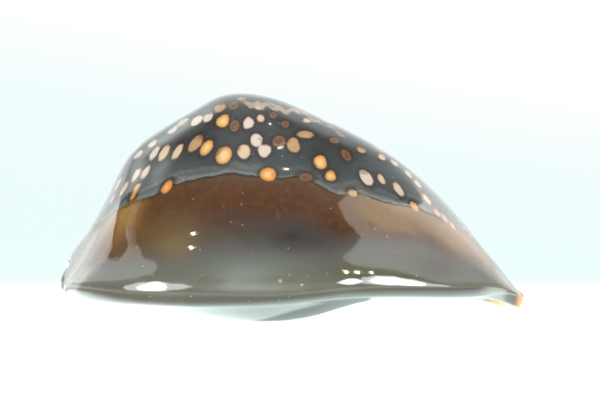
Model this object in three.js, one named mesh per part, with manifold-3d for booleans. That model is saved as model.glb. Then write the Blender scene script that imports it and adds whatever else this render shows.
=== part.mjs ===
// Humpback cowrie shell, in millimetres. +X is the front (siphon) end, -Y the outer-lip side, +Z up.
// It is one hollow body: a humped back, thick side margins and a long toothed slit under the base.
// It rests on the lowest part of its two lips, worn flat at z = 0, with the origin between them.
import * as THREE from "three";
import { mergeVertices } from "three/addons/utils/BufferGeometryUtils.js";
import Module from "manifold-3d";

// Driving dimensions
const LENGTH = 80;
const WIDTH = 55;
const WIDEST_X = -6;
const BACK_TIP_HALF_WIDTH = 6.5;
const FRONT_TIP_HALF_WIDTH = 4.4;
const DOME_WALL = 2.4;
const MARGIN_WALL = 4.2;
const CANAL_HALF_WIDTH = 2.3;
const SLIT_HALF_WIDTH = 1.9;
const LIP_REACH = 5.2;
const ROLL_RADIUS = 2.9;
const FLANK_DRAWN_IN = 0.13;
const FLANK_HOLLOW_DEPTH = 0.9;
const FLANK_HOLLOW_HEIGHT = 5;
const CAVITY_FLOOR_LIFT = 3.4;

// Heights along the shell, as [x, z] points
const RIDGE = [
  [-40, 9.8], [-39, 12], [-37.6, 13.4], [-35.6, 15.4], [-33.8, 18.5], [-32, 21.9], [-29.2, 27.4],
  [-24.5, 32], [-16, 37.1], [-12.6, 38.8], [-9, 39.3], [-2.5, 38.2], [3, 35.9], [8, 33.6],
  [17, 28.6], [26, 20.9], [33, 13], [35, 10.9], [37, 8.4], [38.5, 6.5], [40, 4.8],
];
const ROLL_FOOT = [
  [-40, 4.9], [-36, 4.1], [-26, 3.5], [-12, 3.3], [0, 3.8], [9, 5], [20, 5.2], [30, 5],
  [36, 4.9], [38.6, 4], [40, 2.9],
];
const OUTER_LIP = [
  [-40, 3.9], [-33, 3.1], [-24, 2.1], [-17, 1.1], [-11, 0.2], [-5, -0.38], [0, 0.2], [4, 1.4],
  [10, 2.9], [20, 3.3], [33, 3.5], [37.5, 3.2], [40, 2.3],
];
const INNER_LIP = [
  [-40, 3.5], [-33, 2.5], [-24, 1.4], [-17, 0.6], [-11, 0.05], [-4.5, -0.45], [1.5, 0], [6, 1.4],
  [12, 3], [22, 3.3], [32, 3.2], [37, 2.5], [40, 2.3],
];
const SLIT_Y = [[-40, 1.6], [-30, -0.2], [-15, -2.3], [0, -2.6], [18, -1.6], [32, -0.4], [40, 0]];
const MIDDLE_Y = [[-40, 3.2], [-34, 1.6], [-26, 0.3], [-15, 0], [30, 0], [40, 0]];

// How far each end of the rim draws back from its tip: two lobes and the canal notch between them.
// A side of -1 is the outer-lip margin, 0 the crest and 1 the other margin.
const BACK_REACH = 12;
const BACK_OUTER_LOBE = 0.5;
const BACK_NOTCH = 2.6;
const BACK_NOTCH_SIDE = -0.35;
const BACK_NOTCH_SPREAD = 0.35;
const FRONT_REACH = 11;
const FRONT_INNER_LOBE = 3.3;
const FRONT_NOTCH = 3;
const FRONT_NOTCH_SPREAD = 0.42;

// Teeth on both lips
const TEETH_PER_LIP = 23;
const TEETH_FROM_X = -31;
const TEETH_TO_X = 30;
const TOOTH_RADII = [0.85, 3, 1.2];

// How finely the surface is faceted
const STATIONS = 46;
const DOME_STEPS = 18;
const ROLL_STEPS = 3;
const BASE_STEPS = 4;
const LIP_STEPS = 3;
const CAVITY_DOME_STEPS = 10;
const CAVITY_FLOOR_STEPS = 4;

const HALF = LENGTH / 2;

// A place along the shell as an angle from the back tip, which opens out the steep ends.
const angleAt = (x) => Math.acos(THREE.MathUtils.clamp(-x / HALF, -1, 1));

// A natural cubic spline through [x, value] points, smooth in that angle.
function splineThrough(points) {
  const a = points.map(([x]) => angleAt(x));
  const v = points.map(([, value]) => value);
  const last = a.length - 1;
  const bend = new Array(last + 1).fill(0);
  const carry = new Array(last + 1).fill(0);
  for (let i = 1; i < last; i++) {
    const before = a[i] - a[i - 1];
    const after = a[i + 1] - a[i];
    const slopes = (v[i + 1] - v[i]) / after - (v[i] - v[i - 1]) / before;
    const pivot = 2 * (before + after) - before * carry[i - 1];
    carry[i] = after / pivot;
    bend[i] = (6 * slopes - before * bend[i - 1]) / pivot;
  }
  for (let i = last - 1; i > 0; i--) bend[i] -= carry[i] * bend[i + 1];
  return (x) => {
    const at = angleAt(x);
    let i = 0;
    while (i < last - 1 && at > a[i + 1]) i++;
    const span = a[i + 1] - a[i];
    const p = (a[i + 1] - at) / span;
    const q = 1 - p;
    const cubic = (p ** 3 - p) * bend[i] + (q ** 3 - q) * bend[i + 1];
    return p * v[i] + q * v[i + 1] + (cubic * span * span) / 6;
  };
}

const ridgeZ = splineThrough(RIDGE);
const rollFootZ = splineThrough(ROLL_FOOT);
const outerLipZ = splineThrough(OUTER_LIP);
const innerLipZ = splineThrough(INNER_LIP);
const slitY = splineThrough(SLIT_Y);
const middleY = splineThrough(MIDDLE_Y);

// Half the shell's width at x: a rounded back end and a longer, slightly drawn-out front end.
function halfWidth(x) {
  const t = x < WIDEST_X ? (WIDEST_X - x) / (WIDEST_X + HALF) : (x - WIDEST_X) / (HALF - WIDEST_X);
  const tip = x < WIDEST_X ? BACK_TIP_HALF_WIDTH : FRONT_TIP_HALF_WIDTH;
  const swell = x < WIDEST_X ? (1 - t ** 2.3) ** 0.5 : (1 - t ** 2.05) ** 0.68;
  return tip + (WIDTH / 2 - tip) * swell;
}

// How near x is to an end: 1 at the tip, falling smoothly to 0 at the given reach.
const nearness = (distance, reach) => Math.max(0, 1 - distance / reach) ** 2;

// How far a point draws back from its end of the shell.
function drawnBack(x, side) {
  const toInner = THREE.MathUtils.smoothstep(side, -1, 1);
  const backNotch = Math.exp(-(((side - BACK_NOTCH_SIDE) / BACK_NOTCH_SPREAD) ** 2));
  const frontNotch = Math.exp(-((side / FRONT_NOTCH_SPREAD) ** 2));
  const back = BACK_OUTER_LOBE * (1 - toInner) + BACK_NOTCH * backNotch;
  const front = FRONT_INNER_LOBE * toInner + FRONT_NOTCH * frontNotch;
  return back * nearness(x + HALF, BACK_REACH) - front * nearness(HALF - x, FRONT_REACH);
}

// Points of a cubic curve with two handles, without its first point.
function curve(from, handleA, handleB, to, steps) {
  const points = [];
  for (let i = 1; i <= steps; i++) {
    const t = i / steps;
    const s = 1 - t;
    const weights = [s ** 3, 3 * s * s * t, 3 * s * t * t, t ** 3];
    const ends = [from, handleA, handleB, to];
    points.push([0, 1].map((k) => weights.reduce((sum, weight, n) => sum + weight * ends[n][k], 0)));
  }
  return points;
}

// The named heights and widths of the cross-section at x.
function sectionAt(x) {
  const width = halfWidth(x);
  const fullness = THREE.MathUtils.clamp((width - 5) / 20, 0, 1);
  const canal = THREE.MathUtils.lerp(CANAL_HALF_WIDTH, SLIT_HALF_WIDTH, fullness);
  const top = ridgeZ(x);
  const foot = rollFootZ(x);
  const rollRadius = Math.min(ROLL_RADIUS, 0.32 * (top - foot), 0.3 * (width - canal));
  return { x, width, fullness, canal, top, foot, rollRadius, middle: middleY(x), slit: slitY(x) };
}

// The back, from the outer-lip margin over the crest to the other margin. It is an ellipse drawn in
// a little between margin and crest, hollowed just above each margin, and peaked at the front tip.
// inward is 0 on the outside and 1 on the cavity's wall.
function domePoint(section, angle, inward) {
  const { x, width, fullness, top, foot, rollRadius, middle } = section;
  const topWall = Math.min(DOME_WALL, 0.28 * (top - foot) + 0.6);
  const sideWall = Math.min(DOME_WALL + (MARGIN_WALL - DOME_WALL) * fullness, width - section.canal);
  const reach = width - inward * sideWall;
  const springing = foot + rollRadius + inward * CAVITY_FLOOR_LIFT * fullness;
  const rise = top - inward * topWall - springing;
  const drawn = 1 - FLANK_DRAWN_IN * fullness * Math.sin(2 * angle) ** 2;
  const peak = 1 + nearness(HALF - x, 6);
  const z = springing + rise * drawn * Math.sin(angle) ** peak;
  const climb = (z - springing) / FLANK_HOLLOW_HEIGHT;
  const hollow = FLANK_HOLLOW_DEPTH * fullness * (1 - inward) * climb ** 2 * Math.exp(1 - climb ** 2);
  const y = -Math.cos(angle) * (reach * drawn - hollow);
  return [middle + y, z];
}

// From the margin down round its roll, across the base and up round the lip to the slit's edge.
function underside(section, sign, lipZ) {
  const { width, canal, foot, rollRadius, middle, slit } = section;
  const margin = [middle + sign * width, foot + rollRadius];
  const lipReach = Math.min(LIP_REACH, 0.45 * (width - canal));
  const lip = [slit + sign * (canal + lipReach), lipZ];
  const edge = [slit + sign * canal, lipZ + 0.55 * lipReach];
  const rollEnd = [margin[0] - sign * rollRadius, Math.max(foot - 0.15 * rollRadius, lipZ)];
  const run = [lip[0] - rollEnd[0], lip[1] - rollEnd[1]];
  const roll = curve(
    margin,
    [margin[0], margin[1] - 0.62 * rollRadius],
    [rollEnd[0] - 0.08 * run[0], rollEnd[1] - 0.08 * run[1]],
    rollEnd,
    ROLL_STEPS,
  );
  const base = curve(
    rollEnd,
    [rollEnd[0] + 0.35 * run[0], rollEnd[1] + 0.5 * run[1]],
    [lip[0] - 0.35 * run[0], lip[1]],
    lip,
    BASE_STEPS,
  );
  const turn = curve(
    lip,
    [lip[0] - sign * 0.62 * lipReach, lip[1]],
    [edge[0], edge[1] - 0.3 * lipReach],
    edge,
    LIP_STEPS,
  );
  return [...roll, ...base, ...turn];
}

// The whole cross-section at x as one loop: over the back, under one lip, round the cavity and out
// under the other lip.
function loopAt(x) {
  const section = sectionAt(x);
  const back = (wall, steps) =>
    Array.from({ length: steps + 1 }, (_, i) => domePoint(section, (Math.PI * i) / steps, wall));
  const over = back(0, DOME_STEPS);
  const inside = back(1, CAVITY_DOME_STEPS).reverse();
  const inner = underside(section, 1, innerLipZ(x));
  const outer = underside(section, -1, outerLipZ(x));
  const floor = (edge, wallFoot) => {
    const lift = 0.75 * (wallFoot[1] - edge[1]);
    const handleA = [edge[0], edge[1] + lift];
    const handleB = [wallFoot[0], wallFoot[1] - lift];
    return curve(edge, handleA, handleB, wallFoot, CAVITY_FLOOR_STEPS);
  };
  const innerFloor = floor(inner.at(-1), inside[0]);
  const outerFloor = floor(outer.at(-1), inside.at(-1)).slice(0, -1).reverse();
  const innerHalf = [...inner, ...innerFloor, ...inside.slice(1)];
  const loop = [...over, ...innerHalf, ...outerFloor, ...outer.reverse()];
  const sides = loop.map(([y]) => THREE.MathUtils.clamp((y - section.middle) / section.width, -1, 1));
  return loop.map(([y, z], i) => new THREE.Vector3(x + drawnBack(x, sides[i]), y, z));
}

// Stations along the shell, closer together towards both tips.
const stationX = (i) => {
  const t = i / (STATIONS - 1);
  return LENGTH * (0.2 * t + 0.8 * (1 - Math.cos(Math.PI * t)) / 2) - HALF;
};

function shellGeometry() {
  const loops = Array.from({ length: STATIONS }, (_, i) => loopAt(stationX(i)));
  const around = loops[0].length;
  const positions = loops.flat().flatMap((p) => [p.x, p.y, p.z]);
  const faces = [];
  for (let i = 0; i < STATIONS - 1; i++)
    for (let j = 0; j < around; j++) {
      const here = i * around + j;
      const beside = i * around + ((j + 1) % around);
      faces.push(here, here + around, beside, beside, here + around, beside + around);
    }
  const flat = (loop) => loop.map((p) => new THREE.Vector2(p.y, p.z));
  const front = (STATIONS - 1) * around;
  for (const [a, b, c] of THREE.ShapeUtils.triangulateShape(flat(loops[0]), [])) faces.push(a, c, b);
  for (const [a, b, c] of THREE.ShapeUtils.triangulateShape(flat(loops.at(-1)), []))
    faces.push(front + a, front + b, front + c);
  const geometry = new THREE.BufferGeometry();
  geometry.setAttribute("position", new THREE.Float32BufferAttribute(positions, 3));
  geometry.setIndex(faces);
  return geometry;
}

// One tooth: a long low bump that lies across the turn of a lip.
function toothGeometry(x, sign, lipZ) {
  const { width, canal, slit } = sectionAt(x);
  const lipReach = Math.min(LIP_REACH, 0.45 * (width - canal));
  const geometry = new THREE.SphereGeometry(1, 6, 4).rotateX(Math.PI / 2);
  geometry.scale(...TOOTH_RADII);
  geometry.rotateX(-sign * 0.62);
  geometry.translate(x, slit + sign * (canal + 0.36 * lipReach), lipZ + 0.3 * lipReach);
  return geometry;
}

const wasm = await Module();
wasm.setup();

function solidOf(geometry) {
  const bare = geometry.clone();
  bare.deleteAttribute("normal");
  bare.deleteAttribute("uv");
  const merged = mergeVertices(bare, 1e-4);
  const vertProperties = new Float32Array(merged.attributes.position.array);
  const triVerts = new Uint32Array(merged.index.array);
  return new wasm.Manifold(new wasm.Mesh({ numProp: 3, vertProperties, triVerts }));
}

function geometryOf(solid) {
  const mesh = solid.getMesh();
  const geometry = new THREE.BufferGeometry();
  geometry.setAttribute("position", new THREE.BufferAttribute(mesh.vertProperties, 3));
  geometry.setIndex(new THREE.BufferAttribute(mesh.triVerts, 1));
  geometry.computeVertexNormals();
  return geometry;
}

function makeShell() {
  let shell = solidOf(shellGeometry());
  for (let i = 0; i < TEETH_PER_LIP; i++) {
    const x = THREE.MathUtils.lerp(TEETH_FROM_X, TEETH_TO_X, i / (TEETH_PER_LIP - 1));
    shell = shell.add(solidOf(toothGeometry(x, -1, outerLipZ(x))));
    shell = shell.add(solidOf(toothGeometry(x, 1, innerLipZ(x))));
  }
  const ground = new THREE.BoxGeometry(2 * LENGTH, 2 * WIDTH, 10).translate(0, 0, -5);
  shell = shell.subtract(solidOf(ground));
  const enamel = new THREE.MeshStandardMaterial({ color: 0x4a3426, roughness: 0.15, metalness: 0 });
  const mesh = new THREE.Mesh(geometryOf(shell), enamel);
  mesh.name = "cowrie_shell";
  return mesh;
}

const cowrie = new THREE.Group();
cowrie.add(makeShell());
export default cowrie;
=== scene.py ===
# %% [markdown]
# # A humpback cowrie shell
# A cowrie's mantle wraps up over the back from both sides and paints it with layer on layer of enamel.
# So the real object is one hollow piece with a mirror gloss, and each marking is colour inside that
# enamel. Here it is one surface, worked out from a few measured outlines, and its material mixes the
# markings from values kept on the mesh. Lengths are in millimetres until the mesh is made.

# %% Load the fixed frame
from types import SimpleNamespace

import bpy
import numpy as np
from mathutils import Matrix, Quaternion, Vector


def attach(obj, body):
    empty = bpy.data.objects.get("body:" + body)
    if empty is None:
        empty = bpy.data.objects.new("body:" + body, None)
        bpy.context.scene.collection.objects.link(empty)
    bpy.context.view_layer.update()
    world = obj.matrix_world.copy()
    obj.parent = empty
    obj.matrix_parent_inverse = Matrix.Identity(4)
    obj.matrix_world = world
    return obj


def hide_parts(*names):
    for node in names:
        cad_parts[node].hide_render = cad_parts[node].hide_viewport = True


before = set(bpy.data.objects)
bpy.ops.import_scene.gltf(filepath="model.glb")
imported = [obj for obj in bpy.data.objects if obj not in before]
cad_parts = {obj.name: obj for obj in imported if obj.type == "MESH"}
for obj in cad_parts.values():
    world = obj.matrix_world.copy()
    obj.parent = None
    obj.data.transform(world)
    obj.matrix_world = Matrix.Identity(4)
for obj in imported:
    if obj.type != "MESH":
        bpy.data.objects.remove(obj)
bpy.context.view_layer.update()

# %% [markdown]
# ## The outlines that shape it
# The side outline gives the hump's height at each place along the shell. The others give the foot of
# the margin's roll, the two lips, the slit's path and the middle of each cross-section. Both ends of a
# cowrie are steep and blunt, so the curves are drawn against an angle, not a length: equal steps of it
# crowd together at the tips, where the outline turns fastest.

# %% Driving sizes and outlines
MM = 0.001
LENGTH = 80.0
WIDTH = 55.0
HALF = LENGTH / 2
WIDEST_X = -6.0
BACK_TIP_HALF_WIDTH = 6.5
FRONT_TIP_HALF_WIDTH = 4.4

RIDGE = [
    (-40, 8.2), (-39.2, 10.4), (-38.2, 12.1), (-36.9, 13.8), (-35.6, 15.4), (-33.8, 18.5), (-32, 21.9),
    (-29.2, 27.4), (-24.5, 32), (-16, 37.1), (-12.6, 38.8), (-9, 39.3), (-2.5, 38.2), (3, 35.9), (8, 33.6),
    (17, 28.6), (26, 20.9), (33, 13), (35, 10.9), (37, 8.4), (38.5, 6.4), (40, 4.5),
]
ROLL_FOOT = [
    (-40, 4.9), (-36, 4.0), (-26, 3.25), (-12, 3.1), (0, 3.5), (9, 4.4), (20, 4.6), (30, 4.45),
    (36, 4.6), (38.6, 4), (40, 2.9),
]
OUTER_LIP = [
    (-40, 3.9), (-33, 3.1), (-24, 2.1), (-17, 1.1), (-11, 0.2), (-5, -0.38), (0, 0.1), (4, 0.85),
    (8.3, 2.1), (12, 3.0), (20, 3.3), (33, 3.5), (37.5, 2.6), (40, 1.1),
]
INNER_LIP = [
    (-40, 3.5), (-33, 2.9), (-24, 1.9), (-17, 0.9), (-11, 0.1), (-4.5, -0.45), (1.5, 0.6), (6, 2.1),
    (12, 3.3), (22, 3.6), (32, 3.1), (37, 2.0), (40, 1.7),
]
SLIT_Y = [(-40, 1.6), (-30, -0.2), (-15, -2.3), (0, -2.6), (18, -1.6), (32, -0.4), (40, 0)]
MIDDLE_Y = [(-40, 3.2), (-34, 1.6), (-26, 0.3), (-15, 0), (30, 0), (40, 0)]


def angle_at(x):
    """The place x as an angle from the back tip: the arc cosine of minus x over half the length."""
    return np.arccos(np.clip(-np.asarray(x, float) / HALF, -1, 1))


def spline_through(points):
    """A natural cubic spline over the angle: each stretch blends its two end values and their bends,
    and the bends solve the linear system that makes slopes agree where stretches meet."""
    a = angle_at([p[0] for p in points])
    v = np.array([p[1] for p in points], float)
    step = np.diff(a)
    system = np.eye(len(a))
    inner = np.arange(1, len(a) - 1)
    system[inner, inner - 1] = step[:-1]
    system[inner, inner] = 2 * (step[:-1] + step[1:])
    system[inner, inner + 1] = step[1:]
    turn = np.zeros(len(a))
    turn[1:-1] = 6 * np.diff(np.diff(v) / step)
    bend = np.linalg.solve(system, turn)

    def value(x):
        at = angle_at(x)
        i = np.clip(np.searchsorted(a, at) - 1, 0, len(a) - 2)
        p = (a[i + 1] - at) / step[i]
        q = 1 - p
        cubic = (p**3 - p) * bend[i] + (q**3 - q) * bend[i + 1]
        return p * v[i] + q * v[i + 1] + cubic * step[i] ** 2 / 6

    return value


ridge_z, roll_foot_z, outer_lip_z, inner_lip_z, slit_y, middle_y = (
    spline_through(outline) for outline in (RIDGE, ROLL_FOOT, OUTER_LIP, INNER_LIP, SLIT_Y, MIDDLE_Y)
)
print("hump height, mm:", round(float(ridge_z(np.linspace(-HALF, HALF)).max()), 2))

# %% [markdown]
# ## Cross-sections
# Cut across, the shell is a thick letter C on its open side: over the back, round the swollen margin,
# across the base, up round the toothed lip into the slit, and back round the cavity. A C could be
# lofted from drawn curves, but each change of outline would mean drawing them again. Here each part is
# a formula of the outlines, for all stations at once: rows run along the shell, columns round the C.

# %% Widths, walls and the drawn-back rim at each end
DOME_WALL = 2.4
MARGIN_WALL = 4.2
CANAL_HALF_WIDTH = 2.3
SLIT_HALF_WIDTH = 1.9
LIP_REACH = 5.2
ROLL_RADIUS = 2.9
BACK_ROLL_RISE = 0.64
FRONT_ROLL_RISE = 0.44
FLANK_DRAWN_IN = 0.13
FLANK_HOLLOW_DEPTH = 0.3
FLANK_HOLLOW_HEIGHT = 5.0
CAVITY_FLOOR_LIFT = 3.4
BACK_SWELL = (2.3, 0.5)
FRONT_SWELL = (2.05, 0.68)
BACK_REACH = 12.0
BACK_OUTER_LOBE = 0.15
BACK_NOTCH = 2.6
BACK_NOTCH_SIDE = -0.42
BACK_NOTCH_SPREAD = 0.26
NOTCH_TOP_Z = 11.0
NOTCH_FULL_Z = 6.5
FRONT_REACH = 11.0
FRONT_INNER_LOBE = 2.2
FRONT_NOTCH = 3.0
FRONT_NOTCH_SPREAD = 0.42


def smoothstep(v, low, high):
    """0 at low, 1 at high, and 3t squared minus 2t cubed between; low may be the larger."""
    t = np.clip((v - low) / (high - low), 0, 1)
    return t * t * (3 - 2 * t)


def nearness(distance, reach):
    """1 at no distance, falling as a square to 0 at the reach."""
    return np.maximum(0, 1 - distance / reach) ** 2


def half_width(x):
    """Half the shell's width: the tip's own and a share that falls to its end as 1 - t^p, to a power."""

    def swelling(t, tip, powers):
        return tip + (WIDTH / 2 - tip) * (1 - np.clip(t, 0, 1) ** powers[0]) ** powers[1]

    behind = swelling((WIDEST_X - x) / (WIDEST_X + HALF), BACK_TIP_HALF_WIDTH, BACK_SWELL)
    ahead = swelling((x - WIDEST_X) / (HALF - WIDEST_X), FRONT_TIP_HALF_WIDTH, FRONT_SWELL)
    return np.where(x < WIDEST_X, behind, ahead)


def drawn_back(x, side, z):
    """How far a point draws back from its end: two lobes with the canal's notch between them, which
    runs out up the back. side is -1 at the outer-lip margin, 0 at the crest and 1 at the other."""
    to_inner = smoothstep(side, -1, 1)
    back_notch = np.exp(-(((side - BACK_NOTCH_SIDE) / BACK_NOTCH_SPREAD) ** 2))
    back_notch = BACK_NOTCH * back_notch * smoothstep(z, NOTCH_TOP_Z, NOTCH_FULL_Z)
    front_notch = np.exp(-((side / FRONT_NOTCH_SPREAD) ** 2))
    back = BACK_OUTER_LOBE * (1 - to_inner) + back_notch
    front = FRONT_INNER_LOBE * to_inner + FRONT_NOTCH * front_notch
    return back * nearness(x + HALF, BACK_REACH) - front * nearness(HALF - x, FRONT_REACH)


def point(y, z):
    """Points of the section from their y and z."""
    return np.stack(np.broadcast_arrays(y, z), axis=-1)


def curve(a, b, c, d, t):
    """A cubic curve from a to d with handles b and c: each weighted by its power of t and 1 - t."""
    t = t[..., None]
    s = 1 - t
    return s**3 * a + 3 * s * s * t * b + 3 * s * t * t * c + t**3 * d


print("widest, mm:", round(2 * float(half_width(np.array(WIDEST_X))), 2))

# %% [markdown]
# ## How finely it is divided
# A glossy shell shows every facet, so the grid is fine: about a third of a millimetre along the shell,
# where each tooth needs several stations, and two thirds over the back. The cavity is hardly seen, so
# it has one column for every four outside. The stations crowd towards both ends.

# %% The grid's two parameters
STATIONS = 320
DOME_STEPS = 156
MARGIN_CROWDING = 0.4
ROLL_STEPS = 10
BASE_STEPS = 14
LIP_STEPS = 16
UNDER_STEPS = ROLL_STEPS + BASE_STEPS + LIP_STEPS
COARSER_INSIDE = 4
END_CROWDING = 0.72
RIM_STEPS = 6
RIM_ROUNDING = 0.7
RIM_TURN = 80.0

along = np.linspace(0, 1, STATIONS)
station_x = END_CROWDING * (1 - np.cos(np.pi * along)) / 2 + (1 - END_CROWDING) * along
station_x = (LENGTH - 2 * RIM_ROUNDING) * (station_x - 0.5)
rim_turn = np.linspace(0, np.radians(RIM_TURN), RIM_STEPS + 1)[1:]
rim_out = RIM_ROUNDING * np.sin(rim_turn) / np.sin(rim_turn[-1])
rim_keep = np.cos(rim_turn)
print("stations:", STATIONS, "steps, mm:", np.round(np.diff(station_x)[[0, STATIONS // 2]], 3))


# %% The widths and heights at each station
THIN_HALF_WIDTH = 5.0
FULL_HALF_WIDTH = 25.0
ROLL_OF_HEIGHT = 0.32
ROLL_OF_WIDTH = 0.3
LIP_OF_WIDTH = 0.45
BACK_RISE_X = -18.0
FRONT_RISE_X = 6.0


def section_at(x):
    """The widths and heights that the rest of the C at x is built from."""
    width = half_width(x)
    fullness = np.clip((width - THIN_HALF_WIDTH) / (FULL_HALF_WIDTH - THIN_HALF_WIDTH), 0, 1)
    canal = CANAL_HALF_WIDTH + (SLIT_HALF_WIDTH - CANAL_HALF_WIDTH) * fullness
    top = ridge_z(x)
    foot = roll_foot_z(x)
    roll = np.minimum(ROLL_OF_HEIGHT * (top - foot), ROLL_OF_WIDTH * (width - canal))
    roll = np.minimum(ROLL_RADIUS, roll)
    ahead = smoothstep(x, BACK_RISE_X, FRONT_RISE_X)
    rise = roll * (BACK_ROLL_RISE + (FRONT_ROLL_RISE - BACK_ROLL_RISE) * ahead)
    reach = np.minimum(LIP_REACH, LIP_OF_WIDTH * (width - canal))
    return SimpleNamespace(x=x, width=width, fullness=fullness, canal=canal, top=top, foot=foot, roll=roll,
                           rise=rise, reach=reach, middle=middle_y(x), slit=slit_y(x))


section = section_at(station_x[:, None])
print("thickest roll, mm:", round(float(section.roll.max()), 2))

# %% The parts of the C
TOP_WALL_OF_HEIGHT = 0.28
THINNEST_TOP_WALL = 0.6
FRONT_PEAK_REACH = 6.0
ROLL_TURN = 0.62
ROLL_END_DROP = 0.15
ROLL_TO_BASE = 0.08
BASE_HANDLE = 0.35
BASE_DROP = 0.5
EDGE_OVER_LIP = 0.55
EDGE_HANDLE = 0.3
WALL_HANDLE = 0.75


def dome(s, angle, inward):
    """The back: half an ellipse over angle, drawn in by the square of the sine of twice the angle and
    hollowed above each margin by h squared times e to the 1 - h squared. inward is 1 for the cavity."""
    top_wall = np.minimum(DOME_WALL, TOP_WALL_OF_HEIGHT * (s.top - s.foot) + THINNEST_TOP_WALL)
    side_wall = DOME_WALL + (MARGIN_WALL - DOME_WALL) * s.fullness
    side_wall = np.minimum(side_wall, s.width - s.canal)
    springing = s.foot + s.rise + inward * CAVITY_FLOOR_LIFT * s.fullness
    rise = s.top - inward * top_wall - springing
    drawn = 1 - FLANK_DRAWN_IN * s.fullness * np.sin(2 * angle) ** 2
    peak = 1 + nearness(HALF - s.x, FRONT_PEAK_REACH)
    z = springing + rise * drawn * np.abs(np.sin(angle)) ** peak
    climb = (z - springing) / FLANK_HOLLOW_HEIGHT
    hollow = FLANK_HOLLOW_DEPTH * s.fullness * (1 - inward) * climb**2 * np.exp(1 - climb**2)
    return point(s.middle - np.cos(angle) * ((s.width - inward * side_wall) * drawn - hollow), z)


def underside(s, sign, lip_z):
    """From the margin down round its roll, across the base and up round the lip to the slit's edge:
    three cubic curves end to end. Also gives how far up the lip each column lies, 0 at its crest."""
    margin = point(s.middle + sign * s.width, s.foot + s.rise)
    lip = point(s.slit + sign * (s.canal + s.reach), lip_z)
    edge = point(s.slit + sign * s.canal, lip_z + EDGE_OVER_LIP * s.reach)
    end = point(margin[..., 0] - sign * s.roll, np.maximum(s.foot - ROLL_END_DROP * s.roll, lip_z))
    run = lip - end
    past_lip = lip - point(sign * ROLL_TURN * s.reach, 0)
    t = [np.arange(1, n + 1)[None, :] / n for n in (ROLL_STEPS, BASE_STEPS, LIP_STEPS)]
    chain = np.hstack([
        curve(margin, margin - point(0, ROLL_TURN * s.rise), end - ROLL_TO_BASE * run, end, t[0]),
        curve(end, end + (BASE_HANDLE, BASE_DROP) * run, lip - (BASE_HANDLE, 0) * run, lip, t[1]),
        curve(lip, past_lip, edge - point(0, EDGE_HANDLE * s.reach), edge, t[2]),
    ])
    return chain, sign * (lip[..., 0] - chain[..., 0]) / s.reach


def cavity_floor(edge, wall_foot, t):
    """From the slit's edge up and out to the foot of the cavity's wall."""
    lift = WALL_HANDLE * (wall_foot - edge) * (0, 1)
    return curve(edge, edge + lift, wall_foot - lift, wall_foot, t)


print("steps from a margin to the slit's edge:", UNDER_STEPS)

# %% Put the C together at every station
NO_LIP = -9.0


def crowded_angle(steps):
    """Angles from 0 to pi, closer together by each margin: pi times t - k sin(2 pi t) / (2 pi)."""
    t = np.arange(steps + 1)[None, :] / steps
    return np.pi * (t - MARGIN_CROWDING * np.sin(2 * np.pi * t) / (2 * np.pi))


def cross_sections(s):
    """The outside chain from one slit edge over the back to the other, the cavity chain beside it,
    and how far up a lip each outside point lies."""
    inner_under, inner_up = underside(s, 1, inner_lip_z(s.x))
    outer_under, outer_up = underside(s, -1, outer_lip_z(s.x))
    back = dome(s, crowded_angle(DOME_STEPS), 0)
    outside = np.hstack([outer_under[:, ::-1], back, inner_under])
    up_lip = np.hstack([outer_up[:, ::-1], np.full(back.shape[:2], NO_LIP), inner_up])
    roof = dome(s, crowded_angle(DOME_STEPS // COARSER_INSIDE), 1)
    t = np.arange(0, UNDER_STEPS // COARSER_INSIDE)[None, :] * COARSER_INSIDE / UNDER_STEPS
    left = cavity_floor(outside[:, :1], roof[:, :1], t)
    right = cavity_floor(outside[:, -1:], roof[:, -1:], t)
    return outside, np.hstack([left, roof, right[:, ::-1]]), up_lip


outside, inside, up_lip = cross_sections(section)
print("columns outside:", outside.shape[1], "inside:", inside.shape[1])

# %% [markdown]
# ## Rounded rims and teeth
# At each end the wall stops in a rim. A flat cut would look sawn, so the last few sections draw in to
# the middle of the wall as a half circle does, and meet in a narrow seam. The teeth are ridges across
# the lips: a wave along the shell, strongest at the slit's edge, moves the surface along its normal. A
# displacement modifier could do it, but a clip at z = 0 has to follow, so that the base stays flat.

# %% Round the two rims
across = np.arange(outside.shape[1]) / COARSER_INSIDE
lower = np.clip(np.floor(across).astype(int), 0, inside.shape[1] - 2)
share = (across - lower)[:, None]


def rim(row, keep):
    """The rim's sections at one end: each is the middle of the wall plus what is left of its half
    thickness, the cosine of the turn."""
    out, inn = outside[row], inside[row]
    facing = inn[lower] * (1 - share) + inn[lower + 1] * share
    pairs = ((out, facing), (inn, out[::COARSER_INSIDE]))
    return [(near + far) / 2 + (near - far) / 2 * keep[:, None, None] for near, far in pairs]


chains = [np.vstack(parts) for parts in zip(rim(0, rim_keep[::-1]), (outside, inside), rim(-1, rim_keep))]
rows_x = np.concatenate([station_x[0] - rim_out[::-1], station_x, station_x[-1] + rim_out])[:, None]
rows_middle = middle_y(rows_x)
rows_width = half_width(np.clip(rows_x, station_x[0], station_x[-1]))


def placed(chain):
    """The points of a chain in space, with each end's rim drawn back to its two lobes."""
    y, z = chain[..., 0], chain[..., 1]
    side = np.clip((y - rows_middle) / rows_width, -1, 1)
    return np.stack([rows_x + drawn_back(rows_x, side, z), y, z], axis=-1)


outer, inner = (placed(chain) for chain in chains)
lip_at = np.pad(up_lip, ((RIM_STEPS, RIM_STEPS), (0, 0)), mode="edge")
print("rows with rims:", len(outer), "points:", outer.shape[1] + inner.shape[1] - 2, "round the loop")

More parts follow.
